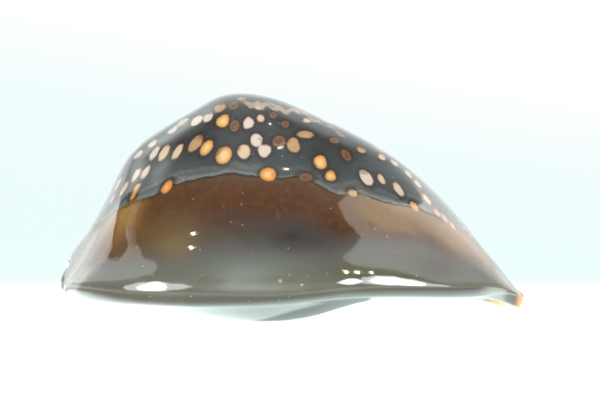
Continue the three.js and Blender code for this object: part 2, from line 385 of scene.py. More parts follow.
# %% Raise the teeth and flatten the places it rests on
TEETH_PER_LIP = 23
TEETH_FROM_X = -31.0
TEETH_TO_X = 30.0
TOOTH_PITCH = (TEETH_TO_X - TEETH_FROM_X) / (TEETH_PER_LIP - 1)
TOOTH_HEIGHT = 1.15
TOOTH_FOOT = 0.32
TOOTH_SHARPNESS = 1.3
TOOTH_FROM_LIP = 0.15
TOOTH_TO_LIP = 0.6


def normals_of(points):
    """Unit normals: the cross product of the steps along the shell and round the section."""
    n = np.cross(np.gradient(points, axis=0), np.gradient(points, axis=1))
    return n / np.maximum(np.linalg.norm(n, axis=-1, keepdims=True), 1e-9)


# One wave of the cosine for each tooth, squeezed to a ridge and faded out at the row's ends.
ridges = 0.5 + 0.5 * np.cos(2 * np.pi * (rows_x - TEETH_FROM_X) / TOOTH_PITCH)
ridges = ridges**TOOTH_SHARPNESS
row_of_teeth = smoothstep(rows_x, TEETH_FROM_X - TOOTH_PITCH, TEETH_FROM_X)
row_of_teeth = row_of_teeth * (1 - smoothstep(rows_x, TEETH_TO_X, TEETH_TO_X + TOOTH_PITCH))
on_lip = smoothstep(lip_at, TOOTH_FROM_LIP, TOOTH_TO_LIP) * row_of_teeth
outer = outer + (TOOTH_HEIGHT * (ridges - TOOTH_FOOT) * on_lip)[..., None] * normals_of(outer)
on_outer_half = np.arange(outer.shape[1]) < outer.shape[1] // 2
lip_height = np.where(on_outer_half, outer_lip_z(rows_x), inner_lip_z(rows_x))
outer[..., 2] = np.where(lip_at > 0, np.maximum(outer[..., 2], lip_height), outer[..., 2])
outer[..., 2] = np.maximum(outer[..., 2], 0)
tooth = ridges * on_lip
print("teeth on a lip:", TEETH_PER_LIP, "pitch, mm:", round(TOOTH_PITCH, 2))

# %% [markdown]
# ## Where the markings lie
# Each flap of mantle leaves a wavy edge low on the side, where its dark spotted layer stops and the
# brown callus of the flank begins. Those edges, and the spots that are seen best, were measured in a
# plain side view: x along the shell and z up, as an eye 350 mm away sees them. A picture could be
# wrapped on, but it would carry one camera's light and stretch on every other side. So the markings
# are numbers on the mesh: how far each point lies from a spot's edge, from the mantle's, up the flank.

# %% The side view and the mantle's edge in it
EYE_DISTANCE = 350.0
EYE_HEIGHT = 14.0
EYE_X = 1.3
FAR_BLEND = 0.15
BELOW_BACK = -12.0
MARGIN_OVER_FOOT = 2.0
FRONT_MARGIN_DROP = 0.9
FRONT_DROP_X = (14.0, 30.0)
HIGHEST_FLANK = 1.3
NEAR_EDGE = [
    (-40, 16), (-36, 15.8), (-33.4, 16.9), (-28.7, 20), (-26.6, 20.8), (-24.2, 21.5), (-21.3, 23.3),
    (-17.6, 24), (-12.8, 25.1), (-6.3, 24.8), (-2.5, 24.5), (2.9, 24.1), (5.6, 22.5), (8.4, 21.7),
    (11, 21.9), (16.6, 20.2), (20.7, 19.5), (26.3, 17.1), (30.1, 15.1), (33, 12.8), (36, 11), (40, 10),
]
FAR_EDGE = [
    (-40, 13), (-36, 14.4), (-32, 17.8), (-28, 20.6), (-25, 20.9), (-21, 23.4), (-16, 24.9), (-11, 24.6),
    (-6, 25.9), (0, 25.1), (5, 23.4), (10, 23.1), (15, 20.9), (20, 20.4), (25, 17.6), (29, 15.9),
    (33, 12.6), (36, 11.2), (40, 10),
]
END_LINE = [(-39.5, 5.9), (-37.2, 8.7), (-36.2, 10.6), (-34.1, 14.6), (-32.9, 17.5)]


def side_view(points):
    """x and z as the eye on the point's own side sees them: lengths grow by D over D minus |y|."""
    growth = EYE_DISTANCE / (EYE_DISTANCE - np.abs(points[..., 1]))
    seen_x = EYE_X + (points[..., 0] - EYE_X) * growth
    seen_z = EYE_HEIGHT + (points[..., 2] - EYE_HEIGHT) * growth
    return seen_x, seen_z


seen_x, seen_z = side_view(outer)
within_x = np.clip(seen_x, -HALF, HALF)
near_edge = spline_through(NEAR_EDGE)(within_x)
far_edge = spline_through(FAR_EDGE)(within_x)
side = (outer[..., 1] - rows_middle) / rows_width
is_far = smoothstep(side, -FAR_BLEND, FAR_BLEND)
mantle_edge = near_edge * (1 - is_far) + far_edge * is_far
on_dome = np.zeros(outer.shape[1], bool)
on_dome[UNDER_STEPS:UNDER_STEPS + DOME_STEPS + 1] = True
mantle = np.where(on_dome[None, :], seen_z - mantle_edge, BELOW_BACK)
end_line_x, end_line_z = np.array(END_LINE).T
past_end_line = seen_x - np.interp(seen_z, end_line_z, end_line_x)
margin_z = roll_foot_z(rows_x) + MARGIN_OVER_FOOT
margin_z = margin_z - FRONT_MARGIN_DROP * smoothstep(rows_x, *FRONT_DROP_X)
flank = (seen_z - margin_z) / np.maximum(mantle_edge - margin_z, 1)
flank = np.clip(flank, 0, HIGHEST_FLANK) * on_dome
print("share of the back above the mantle's edge:", round(float((mantle > 0)[:, on_dome].mean()), 2))

# %% [markdown]
# ## The spots
# Spots are places where the mantle laid down no dark layer, so the pale shell beneath shows through,
# warm where a thin brown film still covers it. They could be a cell pattern in the material, but real
# ones run in twins and leave gaps that no pattern has. So the near side's spots are a short chart, and
# the rest are dealt out by a seeded draw that keeps them a real spot's distance apart.

# %% Chart of the near side: x, z, width and height in the side view, and the spot's tone
TONES = {"pale": 0.0, "cream": 0.2, "tan": 0.4, "yellow": 0.6, "orange": 0.8, "brown": 1.0}
SPOT_CHART = """
-14.8 35.1 1.9 2.0 pale; -16.8 34.6 2.2 2.1 pale; -19.0 34.3 2.1 1.8 pale; -21.1 33.0 2.0 1.7 pale
-24.6 30.6 1.8 1.8 pale; -27.0 28.6 1.8 1.9 pale; -24.2 29.0 1.9 3.3 pale; -22.5 29.0 2.1 3.5 cream
-20.2 29.0 2.0 3.6 cream; -17.1 30.4 2.5 3.4 tan; -15.2 29.7 2.3 3.1 yellow
-27.3 25.2 1.7 3.3 pale; -25.8 25.4 1.7 3.3 pale; -30.5 23.3 1.5 2.9 pale; -29.4 22.7 1.5 2.9 cream
-27.2 22.8 1.3 2.1 yellow; -28.0 21.3 1.2 2.0 orange; -21.9 22.9 2.0 2.7 orange; -31.6 20.6 1.3 2.2 cream
-12.6 36.8 2.1 2.0 tan; -10.3 37.0 1.9 1.7 brown; -7.9 37.5 1.6 1.1 brown; -6.0 36.8 1.9 1.2 cream
-12.1 34.4 2.3 2.6 yellow; -10.2 33.7 1.7 2.3 brown; -7.9 33.9 1.9 2.4 pale; -5.5 35.2 1.4 1.7 cream
-3.6 35.4 1.4 1.3 brown; -1.3 34.0 1.5 1.4 brown; 2.3 32.3 3.0 1.4 tan; -11.9 28.5 2.8 3.4 yellow
-8.5 29.3 2.3 2.8 cream; -6.2 30.9 2.2 2.4 pale; -4.9 29.2 2.2 2.6 pale
-2.5 31.2 2.1 2.1 brown; 0.3 30.2 2.3 2.8 tan; -4.4 25.1 2.6 2.7 orange; 2.3 24.6 2.4 1.4 brown
4.9 27.1 2.4 2.6 yellow; 6.7 24.9 1.9 2.1 yellow; 9.5 28.3 1.7 2.4 brown; 12.2 29.3 1.7 1.4 tan
7.2 31.2 1.7 1.2 brown; 15.7 28.1 1.5 1.5 cream; 17.8 27.0 1.5 1.6 cream; 12.8 24.6 2.4 3.1 pale
15.5 24.3 1.4 2.1 cream; 18.5 22.6 1.9 3.1 cream; 20.4 25.1 1.5 2.1 cream; 22.0 23.4 1.4 2.3 pale
23.5 20.8 1.6 3.1 cream; 10.7 21.7 1.7 1.5 tan; 21.4 19.4 1.5 1.9 orange; 25.3 18.3 1.3 1.6 tan
26.8 17.5 1.2 2.1 tan; 27.9 16.2 1.1 1.6 orange; 29.2 17.0 1.1 1.6 cream; 30.1 15.6 1.0 1.5 yellow
31.3 14.4 1.2 1.1 orange; 2.6 34.6 1.8 1.1 cream
"""
chart = []
for line in SPOT_CHART.strip().splitlines():
    for entry in line.split(";"):
        words = entry.split()
        chart.append([float(word) for word in words[:4]] + [TONES[words[4]]])
chart = np.array(chart)
print("spots in the chart:", len(chart))

# %% Put each charted spot on the surface
LEFT_LEAN = -0.38
LEFT_LEAN_X = (-9.0, -17.0)
RIGHT_LEAN = 0.34
RIGHT_LEAN_X = (4.0, 13.0)
LEAN_OF_WIDTH = 0.7
SPOT_DEPTH = 2.1
NEAR_SIDE = 0.1

dome_points = outer[:, on_dome].reshape(-1, 3)
dome_seen = np.stack(side_view(dome_points), axis=-1)
dome_mantle = mantle[:, on_dome].reshape(-1)
dome_side = side[:, on_dome].reshape(-1)
on_near_side = np.flatnonzero(dome_side < NEAR_SIDE)
gaps = np.linalg.norm(dome_seen[on_near_side, None] - chart[None, :, :2], axis=-1)
spot_at = dome_points[on_near_side[np.argmin(gaps, axis=0)]]
spot_lean = LEFT_LEAN * smoothstep(chart[:, 0], *LEFT_LEAN_X)
spot_lean = spot_lean + RIGHT_LEAN * smoothstep(chart[:, 0], *RIGHT_LEAN_X)
slanted = np.minimum(np.abs(spot_lean) * chart[:, 3], LEAN_OF_WIDTH * chart[:, 2])
spot_wide = np.sqrt(chart[:, 2] ** 2 - slanted**2) / 2
spot_high = chart[:, 3] / 2
spot_deep = SPOT_DEPTH * spot_wide
spot_tone = chart[:, 4]
print("worst miss of a charted spot, mm:", round(float(np.min(gaps, axis=0).max()), 2))

# %% Deal out the rest
SPOT_SEED = 11
SPOT_TRIES = 2600
CLEAR_OF_EDGE = 1.9
SPOT_SPACING = 3.9
PAST_NEAR_SIDE = -0.12
DEALT_MIDDLE_X = -2.0
DEALT_REACH = 33.0
SPACING_SPREAD = (0.78, 1.35)
DEALT_HALF_WIDTHS = (1.0, 1.5)
DEALT_HEIGHTS = (0.95, 1.45)
SHRINK_AHEAD = 0.3
SHRINK_X = (14.0, 32.0)
TWIN_SHARE = 0.22
TWIN_SIZE = 0.85
TWIN_STEP = 1.5
DEALT_TONES = (0.0, 0.1, 0.2, 0.4, 0.6, 1.0)
TONE_CHANCES = (0.26, 0.14, 0.2, 0.2, 0.12, 0.08)
DEALT_LEAN = 0.12

draw = np.random.default_rng(SPOT_SEED)
tries = draw.choice(len(dome_points), SPOT_TRIES, replace=False)
tries = tries[(dome_mantle[tries] > CLEAR_OF_EDGE) & (dome_side[tries] > PAST_NEAR_SIDE)]
tries = tries[np.abs(dome_points[tries, 0] - DEALT_MIDDLE_X) < DEALT_REACH]
kept = list(spot_at)
dealt = []
for i in tries:
    spacing = SPOT_SPACING * draw.uniform(*SPACING_SPREAD)
    if min(np.linalg.norm(np.array(kept) - dome_points[i], axis=1)) > spacing:
        kept.append(dome_points[i])
        dealt.append(i)
dealt = np.array(dealt)
shrunk = 1 - SHRINK_AHEAD * smoothstep(dome_points[dealt, 0], *SHRINK_X)
wide = draw.uniform(*DEALT_HALF_WIDTHS, len(dealt)) * shrunk
high = wide * draw.uniform(*DEALT_HEIGHTS, len(dealt))
tone = draw.choice(DEALT_TONES, len(dealt), p=TONE_CHANCES)
twins = draw.random(len(dealt)) < TWIN_SHARE
leaning = draw.uniform(-0.5, 0.5, (len(dealt), 3)) + [1.0, 0, 0]
twin_at = dome_points[dealt] + leaning * wide[:, None] * TWIN_STEP
spot_at = np.vstack([spot_at, dome_points[dealt], twin_at[twins]])
spot_wide = np.concatenate([spot_wide, wide, TWIN_SIZE * wide[twins]])
spot_high = np.concatenate([spot_high, high, high[twins]])
spot_deep = np.concatenate([spot_deep, high, high[twins]])
spot_tone = np.concatenate([spot_tone, tone, tone[twins]])
spot_lean = np.concatenate([spot_lean, draw.normal(0, DEALT_LEAN, len(spot_tone) - len(spot_lean))])
print("spots dealt:", len(dealt), "twins:", int(twins.sum()), "all:", len(spot_at))

# %% Distance to the nearest spot's edge at every point
SPOT_REACH = 5.0
WOBBLE = 0.07
FILM_TURN = (np.pi / 2, 0.9)
FILM_SHARES = (0.2, 1.3)


def distances_to_spots(points):
    """For each point the signed distance to the nearest spot's edge, that spot's tone and how far the
    point lies towards the spot's brown-filmed side. A spot is where a leaning ellipsoid cuts the
    surface, with a slow wobble of its radius: r times 1 + a sin(2t + p) + b sin(3t + q)."""
    wobble = draw.uniform(-WOBBLE, WOBBLE, (2, len(spot_at)))
    phase = draw.uniform(0, 2 * np.pi, (2, len(spot_at)))
    film_side = draw.normal(*FILM_TURN, len(spot_at))
    film_share = draw.uniform(*FILM_SHARES, len(spot_at))
    best = np.full(len(points), SPOT_REACH)
    best_tone, best_place = np.zeros((2, len(points)))
    for k, centre in enumerate(spot_at):
        away = points - centre
        close = np.flatnonzero(np.einsum("ij,ij->i", away, away) < (SPOT_REACH + spot_high[k]) ** 2)
        x, y, z = away[close].T
        u = (x + spot_lean[k] * z) / spot_wide[k]
        v = np.where(np.abs(z) > np.abs(y), z, y) / spot_high[k]
        turn = np.arctan2(v, u)
        wave = 1 + wobble[0, k] * np.sin(2 * turn + phase[0, k])
        wave = wave + wobble[1, k] * np.sin(3 * turn + phase[1, k])
        radius = np.sqrt(u**2 + (z / spot_high[k]) ** 2 + (y / spot_deep[k]) ** 2) / wave
        distance = (radius - 1) * min(spot_wide[k], spot_high[k])
        nearer = distance < best[close]
        across_film = u * np.cos(film_side[k]) + v * np.sin(film_side[k])
        close = close[nearer]
        best[close] = distance[nearer]
        best_tone[close] = spot_tone[k]
        best_place[close] = film_share[k] * np.clip(across_film[nearer], -1.3, 1.3)
    return best, best_tone, best_place


def on_outside(dome_values, elsewhere):
    """The dome's values in the outside's grid, and one value on the rest of it."""
    grid = np.full(outer.shape[:2], float(elsewhere))
    grid[:, on_dome] = dome_values.reshape(len(outer), -1)
    return grid


dome_spot, dome_tone, dome_place = distances_to_spots(dome_points)
print("share of the back inside spots:", round(float((dome_spot < 0).mean()), 3))

# %% [markdown]
# ## The line over the back
# Where the two flaps met, a pale crooked line runs over the top of the hump, a little to the outer-lip
# side of the crest. Its distance is kept on the mesh too, with a wander of a few waves.

# %% Distance to the mantle line
LINE_SIDE = -0.21
LINE_SWELL = 0.6
LINE_SWELL_X = -3.0
LINE_FROM_X = -9.0
LINE_TO_X = 9.0
LINE_SWELL_REACH = 5.0
LINE_WAVES = [(0.03, 0.42, 0.6), (0.02, 1.15, 0.0), (0.012, 2.9, 1.0)]

wander = sum(size * np.sin(turns * rows_x + start) for size, turns, start in LINE_WAVES)
broad_part = LINE_SWELL * np.exp(-(((rows_x - LINE_SWELL_X) / LINE_SWELL_REACH) ** 2))
line = np.abs(side - LINE_SIDE - wander) * rows_width - broad_part
past_ends = np.maximum(np.maximum(LINE_FROM_X - rows_x, rows_x - LINE_TO_X), 0)
line = np.where(on_dome[None, :], line + past_ends, SPOT_REACH)
print("points within half a millimetre of the line:", int((line < 0.5).sum()))

# %% [markdown]
# ## One closed mesh
# The outside chain and the cavity chain make one ring of points at each station. Quads join the rings
# to a tube, and a zipper of triangles closes the wall at each end: four outside edges to each cavity
# edge. The order of the corners turns every face outwards, and the signed volume proves it.

# %% Join the rings and close the ends
def in_scene(name, data):
    """A new object in the scene that shows a mesh, a lamp or a camera."""
    made = bpy.data.objects.new(name, data)
    bpy.context.scene.collection.objects.link(made)
    return made


loop = np.concatenate([outer, inner[:, -2:0:-1]], axis=1)
ring_count, ring_size = loop.shape[:2]
outside_count = outer.shape[1]
inside_count = inner.shape[1]
ring = np.arange(ring_count - 1)[:, None] * ring_size
step = np.arange(ring_size)[None, :]
following = (step + 1) % ring_size
next_ring = ring + ring_size
quads = np.stack([ring + step, next_ring + step, next_ring + following, ring + following], axis=-1)
quads = quads.reshape(-1, 4)


def inside_index(j):
    """Where the cavity chain's point j sits in a ring: its two end points are the outside's."""
    index = outside_count + inside_count - 2 - j
    return np.where(j == 0, 0, np.where(j == inside_count - 1, outside_count - 1, index))


k = np.arange(outside_count - 1)
j = np.arange(inside_count - 1)
half_way = COARSER_INSIDE // 2
outer_fans = np.stack([k + 1, k, inside_index((k + half_way) // COARSER_INSIDE)], axis=-1)
inner_fans = np.stack([inside_index(j), inside_index(j + 1), COARSER_INSIDE * j + half_way], axis=-1)
cap = np.vstack([outer_fans, inner_fans])
cap = cap[(cap != np.roll(cap, 1, axis=1)).all(axis=1)]
caps = np.vstack([cap[:, ::-1], cap + (ring_count - 1) * ring_size])
points = loop.reshape(-1, 3) * MM

shell_mesh = bpy.data.meshes.new("cowrie_enamel")
shell_mesh.from_pydata(points, [], quads.tolist() + caps.tolist())
shell_mesh.shade_smooth()
shell = in_scene("cowrie_enamel", shell_mesh)
triangles = np.vstack([quads[:, [0, 1, 2]], quads[:, [0, 2, 3]], caps])
a, b, c = (points[triangles[:, n]] for n in range(3))
volume = np.einsum("ij,ij->i", a, np.cross(b, c)).sum() / 6
print("triangles:", len(triangles), "volume, cm3:", round(float(volume) * 1e6, 2))
assert shell_mesh.validate(verbose=True) is False, "the mesh had faults"
assert volume > 0, "the faces point inwards"

# %% Keep the markings on the mesh: the outside's values and one for the whole cavity
FARTHEST_DOWN_LIP = -3.0
INSIDE_LIP = 1.5

markings = {
    "spot": (on_outside(dome_spot, SPOT_REACH), SPOT_REACH),
    "tone": (on_outside(dome_tone, 0), 0),
    "place": (on_outside(dome_place, 0), 0),
    "line": (line, SPOT_REACH),
    "mantle": (mantle, BELOW_BACK),
    "flank": (flank, 0),
    "end": (np.clip(past_end_line, -SPOT_REACH, SPOT_REACH), SPOT_REACH),
    "side": (side, 0),
    "tooth": (tooth, 0),
    "lip": (np.clip(lip_at, FARTHEST_DOWN_LIP, INSIDE_LIP), INSIDE_LIP),
    "outside": (1, 0),
    "edge_x": (rows_x, 0),
}
for name, (outside_values, inside_value) in markings.items():
    values = np.full((ring_count, ring_size), inside_value, np.float32)
    values[:, :outside_count] = outside_values
    shell_mesh.attributes.new(name, "FLOAT", "POINT").data.foreach_set("value", values.ravel())
print("markings kept:", list(markings))

# %% [markdown]
# ## The enamel
# Cowrie enamel is clear at the surface and coloured below it, like a lacquer over paint. One glossy
# shader with a clear coat gives that, and its colour is mixed in layers from the values on the mesh:
# flank, slate back, the steel band by the mantle's edge, spots, and last the tips, lips and cavity.
# Noise on the object's own coordinates frays each border, so no edge looks drawn.

# %% Helpers that write a material as formulas
enamel = bpy.data.materials.new("cowrie_enamel")
enamel.use_nodes = True
tree = enamel.node_tree
tree.nodes.clear()
FIRST_COLOUR = 6
SECOND_COLOUR = 7
MIXED_COLOUR = 2


def put(made, inputs):
    """Each input of a node, by name or number: linked to an output, or set to a number or colour."""
    for key, value in dict(inputs).items():
        socket = made.inputs[key]
        if isinstance(value, bpy.types.NodeSocket):
            tree.links.new(value, socket)
        else:
            socket.default_value = (*value, 1) if socket.type == "RGBA" else value
    return made


def add(kind, inputs=(), **settings):
    """A new node in the tree at hand, with its settings and then its inputs."""
    made = tree.nodes.new("ShaderNode" + kind)
    for name, value in settings.items():
        setattr(made, name, value)
    return put(made, inputs)


def on_mesh(name):
    """The number that the mesh keeps under this name."""
    return add("Attribute", attribute_name=name).outputs["Fac"]


def calc(operation, *values, clamp=False):
    """One step of arithmetic."""
    return add("Math", enumerate(values), operation=operation, use_clamp=clamp).outputs[0]


def times(*values):
    """The product of several values."""
    result = values[0]
    for value in values[1:]:
        result = calc("MULTIPLY", result, value)
    return result


def plus(value, other, share=1.0):
    """value plus a share of another."""
    return calc("ADD", value, calc("MULTIPLY", other, share))


def rise(value, low, high):
    """0 below low, 1 above high, smooth between; low above high falls instead."""
    start, end = (1.0, 0.0) if low > high else (0.0, 1.0)
    limits = {"From Min": min(low, high), "From Max": max(low, high), "To Min": start, "To Max": end}
    return add("MapRange", {"Value": value, **limits}, interpolation_type="SMOOTHSTEP").outputs["Result"]


def hill(value, centre, spread):
    """A bell of height 1: e to the minus square of the distance from its centre over its spread."""
    away = calc("MULTIPLY", calc("SUBTRACT", value, centre), 1 / spread)
    return calc("POWER", float(np.e), times(away, away, -1.0))


def over(colour, *layers):
    """Layers laid over a colour in turn. Each is a colour and the factors of how much of it covers."""
    for layer, *factors in layers:
        sockets = {"Factor": times(*factors), FIRST_COLOUR: colour, SECOND_COLOUR: layer}
        colour = add("Mix", sockets, data_type="RGBA").outputs[MIXED_COLOUR]
    return colour


def ramp(value, stops):
    """A colour for each value, straight between the stops."""
    made = add("ValToRGB", {"Fac": value})
    bar = made.color_ramp.elements
    for n, (at, colour) in enumerate(stops):
        stop = bar[n] if n < 2 else bar.new(at)
        stop.position = at
        stop.color = (*colour, 1)
    return made.outputs["Color"]


print("helpers ready for the material", enamel.name)

# %% Patterns on the piece's own coordinates
METRES_TO_MM = 1 / MM
place_on_piece = add("TexCoord").outputs["Object"]
axes = add("SeparateXYZ", {0: place_on_piece}).outputs
x_mm = times(axes["X"], METRES_TO_MM)
z_mm = times(axes["Z"], METRES_TO_MM)


def stretched(along_x, across, up):
    """The place on the piece with its axes scaled, so that a pattern runs longer one way."""
    scale = (along_x, across, up)
    return add("Mapping", {"Vector": place_on_piece, "Scale": scale}).outputs["Vector"]


def grain(size_mm, detail=2.0, vector=place_on_piece):
    """Noise between about -0.5 and 0.5 whose lumps are size_mm across."""
    noise = add("TexNoise", {"Vector": vector, "Scale": METRES_TO_MM / size_mm, "Detail": detail})
    return calc("SUBTRACT", noise.outputs["Fac"], 0.5)


up_flank = on_mesh("flank")
broad = grain(9.0, 3.0)
ripple = grain(2.6)
fine_ripple = grain(0.9)
lengthwise = grain(5.0, 3.0, stretched(0.35, 1.0, 1.0))
print("pattern nodes:", len(tree.nodes))

# %% The flank: brown under the mantle's edge, cool in the middle, olive by the margin
# The olive and grey low on the flank and the cool grey in its middle are partly the callus's own colour and
# partly painted reflection of the dim room in front.
FLANK_COLOURS = [
    (0.0, (0.062, 0.06, 0.038)),
    (0.05, (0.085, 0.083, 0.056)),
    (0.09, (0.112, 0.113, 0.088)),
    (0.19, (0.106, 0.11, 0.094)),
    (0.3, (0.095, 0.09, 0.086)),
    (0.46, (0.082, 0.066, 0.053)),
    (0.6, (0.055, 0.022, 0.012)),
    (0.8, (0.074, 0.025, 0.006)),
    (1.0, (0.08, 0.034, 0.01)),
]
COOL_GREY = (0.028, 0.026, 0.028)
OLIVE_BROWN = (0.112, 0.064, 0.027)
TAN_PATCH = (0.155, 0.11, 0.056)
OLIVE_FOOT = (0.082, 0.074, 0.048)
STREAK_LOW = (0.13, 0.068, 0.034)
STREAK_HIGH = (0.34, 0.185, 0.055)
WARM_SHOULDER = (0.185, 0.09, 0.012)
# Painted sheen: a pale grey patch low on the middle of the flank.
PALE_SHEEN_PATCH = (0.17, 0.205, 0.185)
RIGHT_SHADE = (0.055, 0.042, 0.034)
MOTTLE_RUST = (0.165, 0.058, 0.014)
MOTTLE_DARK = (0.04, 0.024, 0.014)


def patch(middle_x, reach_x, wander, height, middle, reach):
    """A soft patch: a bell along the shell, whose middle wanders, times a bell of height."""
    return times(hill(plus(x_mm, broad, wander), middle_x, reach_x), hill(height, middle, reach))


flank_at = plus(plus(up_flank, broad, 0.22), lengthwise, 0.14)
back_streak = hill(plus(plus(x_mm, z_mm, -0.15), broad, 5.0), -31.0, 2.6)
streak_colour = over(STREAK_LOW, (STREAK_HIGH, rise(z_mm, 11.5, 18.5)))
shoulder = rise(plus(up_flank, lengthwise, 0.8), 0.45, 0.85)
mottle = grain(1.5, 3.0, stretched(1.4, 1.4, 0.45))
upper_flank = rise(up_flank, 0.35, 0.75)
flank_layers = [
    (OLIVE_BROWN, patch(-23.0, 7.5, 14.0, up_flank, 0.6, 0.22), 0.85),
    (TAN_PATCH, patch(-19.5, 3.2, 6.0, plus(z_mm, ripple, 2.0), 12.8, 2.4), 0.8),
    # partly painted reflection: cool grey in the middle of the flank
    (COOL_GREY, patch(0.5, 6.8, 16.0, plus(up_flank, lengthwise, 0.3), 0.45, 0.14), 0.85),
    (streak_colour, back_streak, rise(z_mm, 9.0, 12.5), 0.9),
    (WARM_SHOULDER, rise(x_mm, 6.0, 14.0), shoulder, 0.8),
    # painted sheen, low in the middle of the flank
    (PALE_SHEEN_PATCH, patch(-7.5, 5.0, 8.0, z_mm, 8.0, 1.7), 0.6),
    (OLIVE_FOOT, patch(10.0, 5.0, 6.0, z_mm, 8.6, 2.2), 0.65),
    (RIGHT_SHADE, patch(24.0, 4.5, 6.0, plus(z_mm, ripple, 1.5), 9.6, 2.4), 0.6),
    (MOTTLE_RUST, rise(mottle, -0.05, 0.34), upper_flank, 0.45),
    (MOTTLE_DARK, rise(mottle, 0.0, -0.34), upper_flank, 0.35),
]
flank_colour = over(ramp(flank_at, FLANK_COLOURS), *flank_layers)
print("layers on the flank:", len(flank_layers))

# %% The slate back and the steel band above the mantle's edge
SLATE = (0.03, 0.036, 0.036)
SLATE_BROWN = (0.027, 0.022, 0.018)
STEEL = (0.16, 0.174, 0.168)
# A painted highlight along the mantle's edge, and a painted shadow just under it.
PAINTED_EDGE_HIGHLIGHT = (0.19, 0.19, 0.165)
PAINTED_EDGE_SHADOW = (0.016, 0.014, 0.009)
BAND_FADE = 3.4
BAND_LINE_PITCH = 1.35

above = plus(plus(on_mesh("mantle"), ripple, 1.1), fine_ripple, 0.35)
growth_lines = calc("SINE", times(plus(above, ripple, 0.8), 2 * np.pi / BAND_LINE_PITCH))
# The steel band's pale grey is partly the enamel's own band with its growth lines and partly painted sheen;
# round x = -0.5 mm it is dimmed as painted shade in the middle of the shell.
steel_share = times(rise(plus(above, broad, 3.0), BAND_FADE, 0.1), plus(0.66, growth_lines, 0.22))
steel_share = times(steel_share, plus(1.0, hill(x_mm, -0.5, 5.0), -0.7))
back_layers = [
    (SLATE_BROWN, rise(plus(broad, grain(3.1, 3.0), 0.7), 0.0, 0.22)),
    (STEEL, steel_share),
    # painted highlight: a thin pale line just above the mantle's edge
    (PAINTED_EDGE_HIGHLIGHT, hill(above, 0.2, 0.12), 0.5),
]
# painted shadow: a dark band just under the mantle's edge
painted_edge_shadow = times(hill(above, -0.12, 0.24), plus(0.62, broad, 1.0))
colour = over(flank_colour, (over(SLATE, *back_layers), rise(above, -0.06, 0.12)), (PAINTED_EDGE_SHADOW, painted_edge_shadow))
print("layers on the back:", len(back_layers))

# %% Spots, each with a rusty rim, a thin brown film in places and a dark ring round it
TONE_COLOURS = [
    (0.0, (0.64, 0.52, 0.44)),
    (0.2, (0.64, 0.47, 0.31)),
    (0.4, (0.43, 0.255, 0.12)),
    (0.6, (0.76, 0.4, 0.105)),
    (0.8, (0.72, 0.25, 0.03)),
    (1.0, (0.125, 0.045, 0.02)),
]
RUST = (0.23, 0.075, 0.02)
FILM = (0.16, 0.072, 0.028)
RIM_AMBER = (0.52, 0.23, 0.055)
PALE_HEART = (0.8, 0.64, 0.43)
RIM_TAN = (0.45, 0.28, 0.14)
RING = (0.02, 0.01, 0.007)

from_edge = plus(plus(plus(on_mesh("spot"), grain(1.3), 0.3), grain(0.4), 0.1), 0.02)
tone = plus(on_mesh("tone"), grain(1.1), 0.12)
is_brown = rise(tone, 0.86, 0.96)
is_warm = times(rise(tone, 0.45, 0.6), rise(tone, 0.92, 0.84))
film = rise(plus(on_mesh("place"), grain(1.5), 2.4), 0.35, 0.95)
on_spot = rise(from_edge, 0.14, -0.16)
spot_layers = [
    (PALE_HEART, rise(from_edge, -0.35, -0.95), is_warm, 0.45),
    (RIM_AMBER, rise(from_edge, -0.55, -0.1), is_warm, 0.6),
    (RIM_TAN, rise(from_edge, -0.45, -0.1), is_brown, 0.15),
    (FILM, film, 0.75),
    (RUST, rise(from_edge, -0.3, 0.1), 0.4),
]
colour = over(
    colour,
    (RING, rise(from_edge, 0.95, 0.1), rise(above, -0.4, 0.4), 0.8),
    (over(ramp(tone, TONE_COLOURS), *spot_layers), on_spot),
)
print("tones:", len(TONE_COLOURS), "layers on a spot:", len(spot_layers))

# %% The mantle line and the scatter of pale specks in the enamel
LINE_TAN = (0.42, 0.3, 0.2)
LINE_BROWN = (0.15, 0.07, 0.035)
LINE_OUTER = 0.8
LINE_INNER = 0.2
SPECK = (0.55, 0.54, 0.5)
SPECK_SPACING = 1.6
SPECK_RADIUS = 0.13
SPECK_HEART = 0.3 * SPECK_RADIUS
SPECK_CHANCE = (0.55, 0.6)

from_line = plus(plus(on_mesh("line"), grain(2.4, 3.0), 2.6), fine_ripple, 0.9)
line_colour = over(LINE_TAN, (LINE_BROWN, rise(plus(grain(2.0), ripple, 0.6), -0.02, 0.16)))
cells = add("TexVoronoi", {"Vector": place_on_piece, "Scale": METRES_TO_MM / SPECK_SPACING}).outputs
chance = add("SeparateColor", {0: cells["Color"]}).outputs[0]
colour = over(
    colour,
    (line_colour, rise(from_line, LINE_OUTER, LINE_INNER), 0.85),
    (SPECK, rise(cells["Distance"], SPECK_RADIUS, SPECK_HEART), rise(chance, *SPECK_CHANCE), 0.4),
)
print("specks, mm apart:", SPECK_SPACING)

# %% The underside, the teeth, the tips and the cavity
BASE_COLOURS = [
    (0.0, (0.06, 0.052, 0.036)),
    (0.35, (0.048, 0.026, 0.015)),
    (0.7, (0.085, 0.042, 0.022)),
    (1.0, (0.3, 0.22, 0.155)),
]
TIP_COLOURS = [(0.0, (0.52, 0.15, 0.022)), (0.5, (0.8, 0.33, 0.06)), (1.0, (0.9, 0.64, 0.3))]
TOOTH_BROWN = (0.04, 0.016, 0.008)
TIP_BROWN = (0.03, 0.012, 0.007)
CAVITY_LILAC = (0.43, 0.395, 0.42)
# PALE_END is partly the back end's own pale rim and partly painted sheen.
PALE_END = (0.265, 0.285, 0.258)
PALE_UNDER = (0.42, 0.43, 0.41)
END_LINE_GREY = (0.075, 0.066, 0.052)

